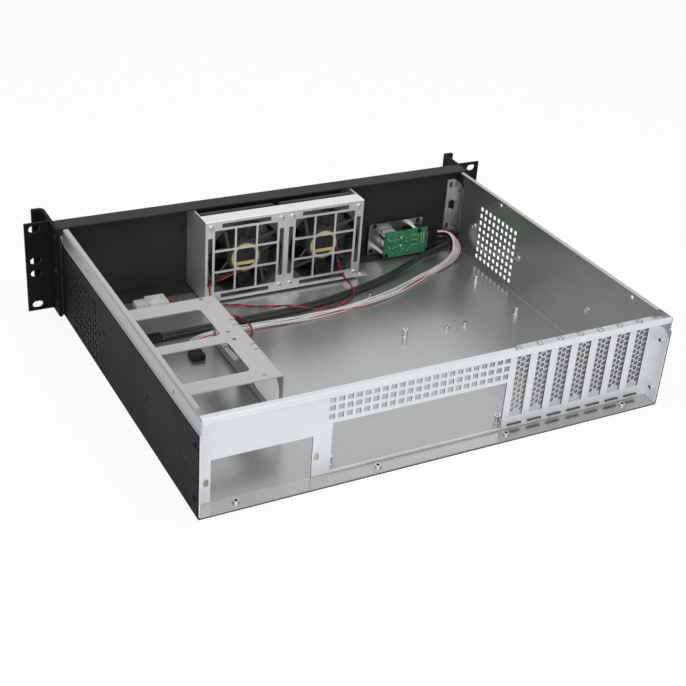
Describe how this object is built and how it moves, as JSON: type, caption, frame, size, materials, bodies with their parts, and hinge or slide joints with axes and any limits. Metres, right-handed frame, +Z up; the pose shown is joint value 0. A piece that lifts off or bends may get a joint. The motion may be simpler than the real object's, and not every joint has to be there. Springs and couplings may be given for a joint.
{
  "type": "empty rackmount server case",
  "caption": "Open 2U rackmount server case without its cover: folded steel tub with rack ears, fan cage, drive bracket, front control board and slotted rear panel.",
  "frame": {"origin": "under the middle of the case's bounding box, on the plane it stands on", "axes": "+X across the width to the side with the drive bracket, +Y from the rack ears to the rear panel, +Z up"},
  "size_m": [0.4826, 0.3798, 0.088],
  "materials": {
    "zinc_steel": "zinc-plated sheet steel, black powder coat outside",
    "black_steel": "black powder coat on sheet steel",
    "black_aluminium": "black coated extrusion",
    "black_plastic": "moulded black plastic",
    "label_film": "plain black disc with a gold ring",
    "green_board": "green circuit board",
    "bright_metal": "nickel plated",
    "clear_plastic": "clear light pipe",
    "black_cable": "soft black cable jacket",
    "white_cable": "white insulated wires",
    "red_cable": "red and black insulated wires",
    "white_plastic": "white nylon"
  },
  "bodies": {
    "case": {"board_plate": "zinc_steel", "board_spacers": "bright_metal", "board_standoffs": "bright_metal", "chassis_tub": "zinc_steel", "control_board": "green_board", "corner_bracket_left": "zinc_steel", "corner_bracket_right": "zinc_steel", "drive_bracket": "zinc_steel", "ear_handle_left": "black_aluminium", "ear_handle_right": "black_aluminium", "fan_cage": "zinc_steel", "fan_frame_1": "black_plastic", "fan_frame_2": "black_plastic", "fan_label_1": "label_film", "fan_label_2": "label_film", "fan_lead_1": "red_cable", "fan_lead_2": "red_cable", "fan_plug_1": "white_plastic", "fan_plug_2": "white_plastic", "fan_screws": "bright_metal", "floor_studs": "bright_metal", "front_panel": "black_steel", "front_ribbon": "white_cable", "header_plugs": "black_plastic", "indicator_lights": "clear_plastic", "pin_header": "black_plastic", "plate_spacers": "bright_metal", "power_switch": "black_plastic", "rear_panel": "zinc_steel", "reset_switch": "black_plastic", "ribbon_plug": "black_plastic", "slot_cover_1": "zinc_steel", "slot_cover_2": "zinc_steel", "slot_cover_3": "zinc_steel", "slot_cover_4": "zinc_steel", "slot_cover_5": "zinc_steel", "slot_cover_6": "zinc_steel", "slot_cover_7": "zinc_steel", "slot_cover_screws": "bright_metal", "usb_lead_1": "black_cable", "usb_lead_2": "black_cable", "usb_plug_1": "black_plastic", "usb_plug_2": "black_plastic", "usb_port_1": "bright_metal", "usb_port_2": "bright_metal"},
    "fan_rotor_1": {"fan_rotor_1": "black_plastic"},
    "fan_rotor_2": {"fan_rotor_2": "black_plastic"},
    "power_button": {"power_button": "black_plastic"},
    "reset_button": {"reset_button": "black_plastic"}
  },
  "joints": [
    {"name": "fan_1_spin", "type": "hinge", "parent": "case", "child": "fan_rotor_1", "pos_m": [0.0446, -0.11535, 0.0447], "axis": [0, 1, 0], "continuous": true},
    {"name": "fan_2_spin", "type": "hinge", "parent": "case", "child": "fan_rotor_2", "pos_m": [-0.0383, -0.11535, 0.0447], "axis": [0, 1, 0], "continuous": true},
    {"name": "power_press", "type": "slide", "parent": "case", "child": "power_button", "axis": [0, 1, 0], "range_m": [0, 0.0008], "stiffness_N_per_m": 600, "springref_m": -0.0006},
    {"name": "reset_press", "type": "slide", "parent": "case", "child": "reset_button", "axis": [0, 1, 0], "range_m": [0, 0.0008], "stiffness_N_per_m": 600, "springref_m": -0.0006}
  ]
}
